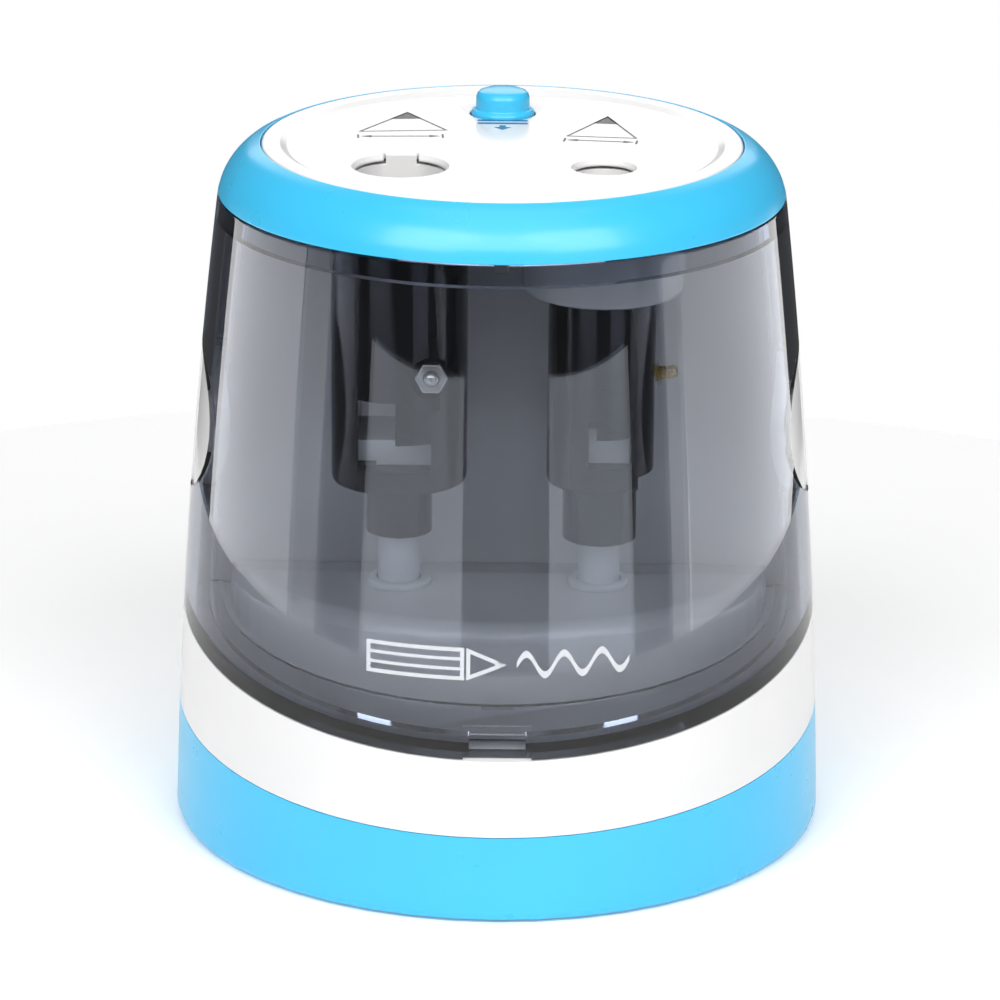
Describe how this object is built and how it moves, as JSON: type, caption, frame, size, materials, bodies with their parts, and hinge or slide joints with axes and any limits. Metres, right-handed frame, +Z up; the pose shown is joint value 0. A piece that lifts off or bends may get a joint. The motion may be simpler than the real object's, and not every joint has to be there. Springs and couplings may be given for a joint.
{
  "type": "battery pencil sharpener",
  "caption": "Round tapering battery pencil sharpener with a smoky pull-off front, two pencil holes with spinning cutters, a push button and a rear battery door.",
  "frame": {"origin": "centre of the round underside, on the surface it stands on", "axes": "+Z up; the see-through front cover faces -Y; the larger pencil hole is on the -X side"},
  "size_m": [0.094, 0.094, 0.1026],
  "materials": {
    "blue_shell": "gloss moulded plastic",
    "gloss_white": "gloss moulded plastic",
    "nylon": "satin nylon",
    "smoke_cover": "clear smoked plastic",
    "dark_plastic": "dark smoked plastic",
    "bright_steel": "plated steel",
    "brass": "bare brass",
    "cell_jacket": "printed jacket, plain"
  },
  "bodies": {
    "housing": {"base_shell": "blue_shell", "crown_ring": "blue_shell", "middle_housing": "gloss_white", "rear_housing": "gloss_white", "top_plate": "gloss_white", "left_pencil_guide": "gloss_white", "right_pencil_guide": "gloss_white", "upper_deck": "nylon", "cell_holder": "nylon", "gear_plate": "nylon", "left_bush": "nylon", "right_bush": "nylon", "motor_end_cap": "nylon", "switch_base": "dark_plastic", "motor_can": "bright_steel", "idler_pin": "bright_steel", "button_spring": "bright_steel", "lower_link_left": "bright_steel", "lower_link_right": "bright_steel", "upper_link": "bright_steel", "positive_terminal": "bright_steel", "negative_terminal": "bright_steel", "switch_contact_left": "brass", "switch_contact_right": "brass", "base_screw_1": "bright_steel", "cell_1": "cell_jacket", "base_screw_2": "bright_steel", "cell_2": "cell_jacket", "base_screw_3": "bright_steel", "cell_3": "cell_jacket", "base_screw_4": "bright_steel", "cell_4": "cell_jacket"},
    "front_cover": {"front_cover": "smoke_cover"},
    "battery_door": {"battery_door": "gloss_white"},
    "button": {"button_cap": "blue_shell", "button_contact_disc": "brass"},
    "left_cutter": {"left_output_gear": "nylon", "left_spindle": "nylon", "left_cutter_holder": "dark_plastic", "left_blade": "bright_steel", "left_blade_screw": "bright_steel", "left_blade_nut": "bright_steel"},
    "right_cutter": {"right_output_gear": "nylon", "right_spindle": "nylon", "right_cutter_holder": "dark_plastic", "right_blade": "bright_steel", "right_blade_screw": "brass", "right_blade_nut": "bright_steel"},
    "idler": {"idler_gear": "nylon"},
    "motor_rotor": {"motor_shaft": "bright_steel", "motor_pinion": "brass"}
  },
  "joints": [
    {"name": "left_cutter_spin", "type": "hinge", "parent": "housing", "child": "left_cutter", "pos_m": [-0.01415, -0.012, 0.05], "axis": [0, 0, 1], "continuous": true},
    {"name": "right_cutter_spin", "type": "hinge", "parent": "housing", "child": "right_cutter", "pos_m": [0.01415, -0.012, 0.05], "axis": [0, 0, 1], "continuous": true},
    {"name": "idler_spin", "type": "hinge", "parent": "housing", "child": "idler", "pos_m": [0, -0.00258, 0.03], "axis": [0, 0, 1], "continuous": true},
    {"name": "motor_spin", "type": "hinge", "parent": "housing", "child": "motor_rotor", "pos_m": [0, 0.01222, 0.029], "axis": [0, 0, 1], "continuous": true},
    {"name": "button_press", "type": "slide", "parent": "housing", "child": "button", "axis": [0, 0, -1], "range_m": [0, 0.0018], "stiffness_N_per_m": 300, "springref_m": -0.002, "deforming": ["button_spring"]},
    {"name": "front_cover_pull", "type": "slide", "parent": "housing", "child": "front_cover", "axis": [0, -1, 0], "range_m": [0, 0.055]},
    {"name": "battery_door_pull", "type": "slide", "parent": "housing", "child": "battery_door", "axis": [0, 1, 0], "range_m": [0, 0.025]}
  ],
  "couplings": [
    {"joint": "right_cutter_spin", "follows": "left_cutter_spin", "ratio": 1},
    {"joint": "idler_spin", "follows": "left_cutter_spin", "ratio": -2.4},
    {"joint": "motor_spin", "follows": "left_cutter_spin", "ratio": 7.4667}
  ]
}
